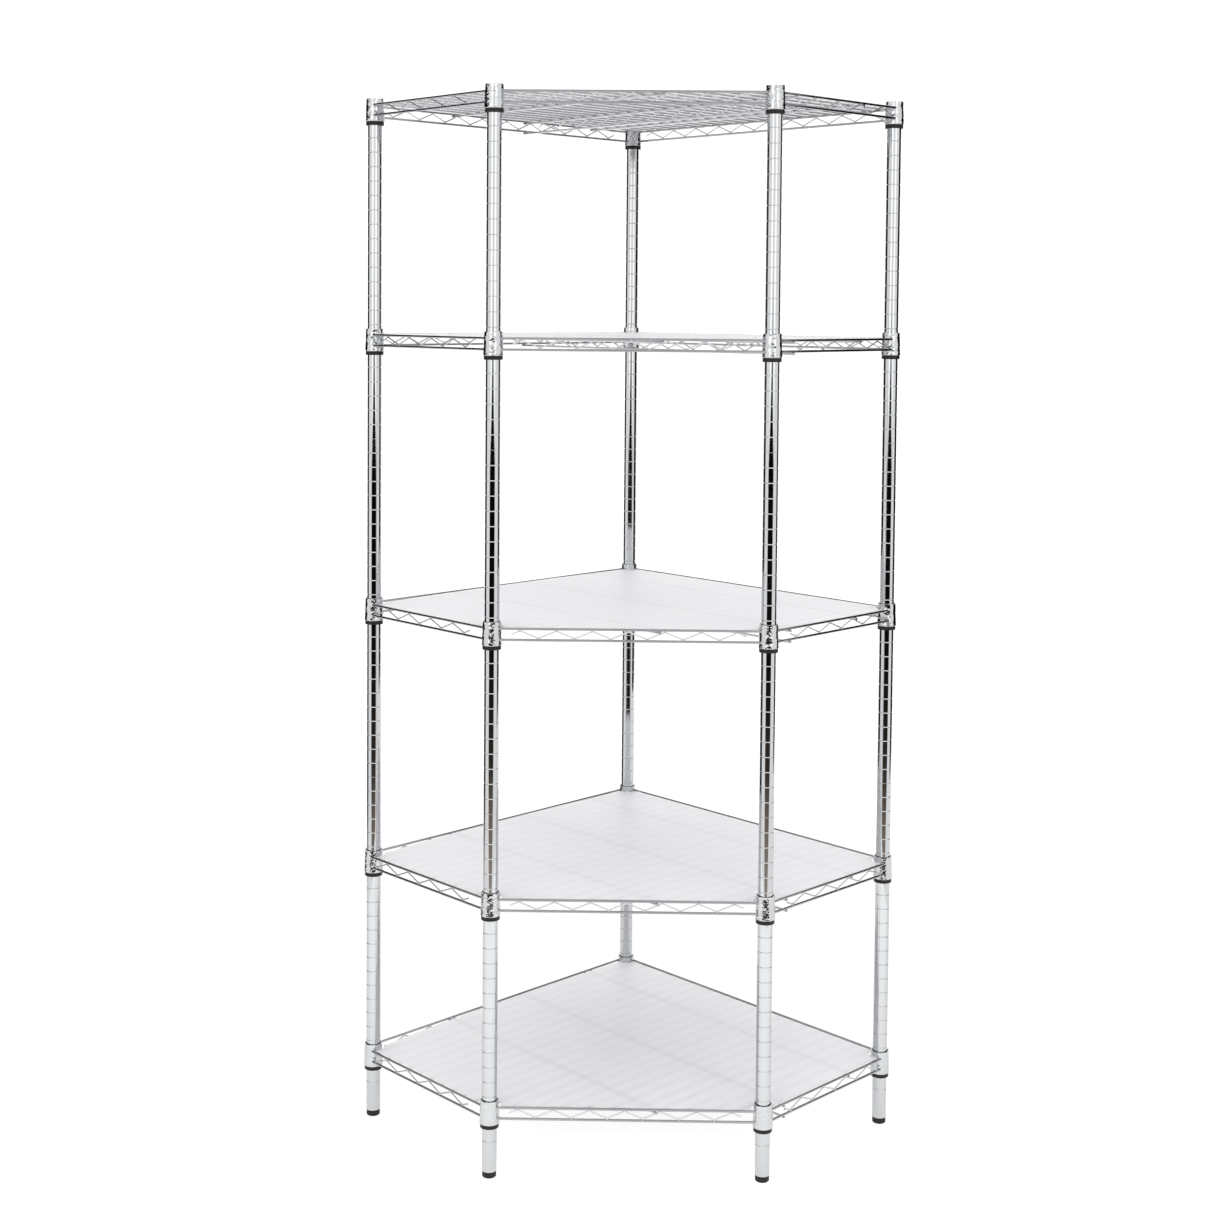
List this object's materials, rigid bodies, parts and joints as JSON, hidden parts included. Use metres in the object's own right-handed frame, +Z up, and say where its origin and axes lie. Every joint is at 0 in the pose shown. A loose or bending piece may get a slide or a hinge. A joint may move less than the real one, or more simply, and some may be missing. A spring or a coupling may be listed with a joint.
{
  "type": "wire shelving rack",
  "caption": "Five-tier corner wire shelving rack on grooved sectional posts, with split sleeves, welded wire shelves, plastic liners and levelling feet.",
  "frame": {"origin": "floor level, under the middle of the rack's bounding box", "axes": "+Z up along the posts, +Y towards the back corner post, -Y the short front side, +X to the right"},
  "size_m": [0.952, 0.7214, 1.8343],
  "materials": {
    "chrome": "bright chrome plate",
    "black_plastic": "moulded",
    "liner_plastic": "frosted sheet",
    "zinc_steel": "zinc plated"
  },
  "bodies": {
    "posts": {"post_left_lower": "chrome", "post_left_middle": "chrome", "post_left_upper": "chrome", "post_front_left_lower": "chrome", "post_front_left_middle": "chrome", "post_front_left_upper": "chrome", "post_front_right_lower": "chrome", "post_front_right_middle": "chrome", "post_front_right_upper": "chrome", "post_right_lower": "chrome", "post_right_middle": "chrome", "post_right_upper": "chrome", "post_back_lower": "chrome", "post_back_middle": "chrome", "post_back_upper": "chrome", "post_joint_sockets": "zinc_steel", "post_joint_studs": "zinc_steel", "post_caps": "black_plastic", "foot_inserts": "zinc_steel", "shelf_1_sleeves": "black_plastic", "shelf_2_sleeves": "black_plastic", "shelf_3_sleeves": "black_plastic", "shelf_4_sleeves": "black_plastic", "shelf_5_sleeves": "black_plastic"},
    "shelf_1": {"shelf_1_collars": "chrome", "shelf_1_rails": "chrome", "shelf_1_zigzags": "chrome", "shelf_1_deck_wires": "chrome"},
    "liner_1": {"shelf_1_liner": "liner_plastic"},
    "shelf_2": {"shelf_2_collars": "chrome", "shelf_2_rails": "chrome", "shelf_2_zigzags": "chrome", "shelf_2_deck_wires": "chrome"},
    "liner_2": {"shelf_2_liner": "liner_plastic"},
    "shelf_3": {"shelf_3_collars": "chrome", "shelf_3_rails": "chrome", "shelf_3_zigzags": "chrome", "shelf_3_deck_wires": "chrome"},
    "liner_3": {"shelf_3_liner": "liner_plastic"},
    "shelf_4": {"shelf_4_collars": "chrome", "shelf_4_rails": "chrome", "shelf_4_zigzags": "chrome", "shelf_4_deck_wires": "chrome"},
    "liner_4": {"shelf_4_liner": "liner_plastic"},
    "shelf_5": {"shelf_5_collars": "chrome", "shelf_5_rails": "chrome", "shelf_5_zigzags": "chrome", "shelf_5_deck_wires": "chrome"},
    "liner_5": {"shelf_5_liner": "liner_plastic"},
    "foot_left_screw": {"foot_stud_left": "zinc_steel"},
    "foot_left_pad": {"foot_pad_left": "black_plastic"},
    "foot_front_left_screw": {"foot_stud_front_left": "zinc_steel"},
    "foot_front_left_pad": {"foot_pad_front_left": "black_plastic"},
    "foot_front_right_screw": {"foot_stud_front_right": "zinc_steel"},
    "foot_front_right_pad": {"foot_pad_front_right": "black_plastic"},
    "foot_right_screw": {"foot_stud_right": "zinc_steel"},
    "foot_right_pad": {"foot_pad_right": "black_plastic"},
    "foot_back_screw": {"foot_stud_back": "zinc_steel"},
    "foot_back_pad": {"foot_pad_back": "black_plastic"}
  },
  "joints": [
    {"name": "shelf_1_lift", "type": "slide", "parent": "posts", "child": "shelf_1", "axis": [0, 0, 1], "range_m": [0, 0.2032]},
    {"name": "liner_1_lift", "type": "slide", "parent": "shelf_1", "child": "liner_1", "axis": [0, 0, 1], "range_m": [0, 0.08]},
    {"name": "shelf_2_lift", "type": "slide", "parent": "posts", "child": "shelf_2", "axis": [0, 0, 1], "range_m": [0, 0.3048]},
    {"name": "liner_2_lift", "type": "slide", "parent": "shelf_2", "child": "liner_2", "axis": [0, 0, 1], "range_m": [0, 0.08]},
    {"name": "shelf_3_lift", "type": "slide", "parent": "posts", "child": "shelf_3", "axis": [0, 0, 1], "range_m": [0, 0.3302]},
    {"name": "liner_3_lift", "type": "slide", "parent": "shelf_3", "child": "liner_3", "axis": [0, 0, 1], "range_m": [0, 0.08]},
    {"name": "shelf_4_lift", "type": "slide", "parent": "posts", "child": "shelf_4", "axis": [0, 0, 1], "range_m": [0, 0.254]},
    {"name": "liner_4_lift", "type": "slide", "parent": "shelf_4", "child": "liner_4", "axis": [0, 0, 1], "range_m": [0, 0.08]},
    {"name": "shelf_5_lift", "type": "slide", "parent": "posts", "child": "shelf_5", "axis": [0, 0, 1], "range_m": [0, 0.1016]},
    {"name": "liner_5_lift", "type": "slide", "parent": "shelf_5", "child": "liner_5", "axis": [0, 0, 1], "range_m": [0, 0.08]},
    {"name": "foot_left_lift", "type": "slide", "parent": "posts", "child": "foot_left_screw", "axis": [0, 0, -1], "range_m": [0, 0.0127]},
    {"name": "foot_left_turn", "type": "hinge", "parent": "foot_left_screw", "child": "foot_left_pad", "pos_m": [-0.45891, -0.11526, 0.005], "axis": [0, 0, -1], "range_deg": [0, 2880]},
    {"name": "foot_front_left_lift", "type": "slide", "parent": "posts", "child": "foot_front_left_screw", "axis": [0, 0, -1], "range_m": [0, 0.0127]},
    {"name": "foot_front_left_turn", "type": "hinge", "parent": "foot_front_left_screw", "child": "foot_front_left_pad", "pos_m": [-0.23052, -0.34365, 0.005], "axis": [0, 0, -1], "range_deg": [0, 2880]},
    {"name": "foot_front_right_lift", "type": "slide", "parent": "posts", "child": "foot_front_right_screw", "axis": [0, 0, -1], "range_m": [0, 0.0127]},
    {"name": "foot_front_right_turn", "type": "hinge", "parent": "foot_front_right_screw", "child": "foot_front_right_pad", "pos_m": [0.23052, -0.34365, 0.005], "axis": [0, 0, -1], "range_deg": [0, 2880]},
    {"name": "foot_right_lift", "type": "slide", "parent": "posts", "child": "foot_right_screw", "axis": [0, 0, -1], "range_m": [0, 0.0127]},
    {"name": "foot_right_turn", "type": "hinge", "parent": "foot_right_screw", "child": "foot_right_pad", "pos_m": [0.45891, -0.11526, 0.005], "axis": [0, 0, -1], "range_deg": [0, 2880]},
    {"name": "foot_back_lift", "type": "slide", "parent": "posts", "child": "foot_back_screw", "axis": [0, 0, -1], "range_m": [0, 0.0127]},
    {"name": "foot_back_turn", "type": "hinge", "parent": "foot_back_screw", "child": "foot_back_pad", "pos_m": [0, 0.34365, 0.005], "axis": [0, 0, -1], "range_deg": [0, 2880]}
  ],
  "couplings": [
    {"joint": "foot_left_turn", "follows": "foot_left_lift", "rad_per_m": 3957.9},
    {"joint": "foot_front_left_turn", "follows": "foot_front_left_lift", "rad_per_m": 3957.9},
    {"joint": "foot_front_right_turn", "follows": "foot_front_right_lift", "rad_per_m": 3957.9},
    {"joint": "foot_right_turn", "follows": "foot_right_lift", "rad_per_m": 3957.9},
    {"joint": "foot_back_turn", "follows": "foot_back_lift", "rad_per_m": 3957.9}
  ]
}
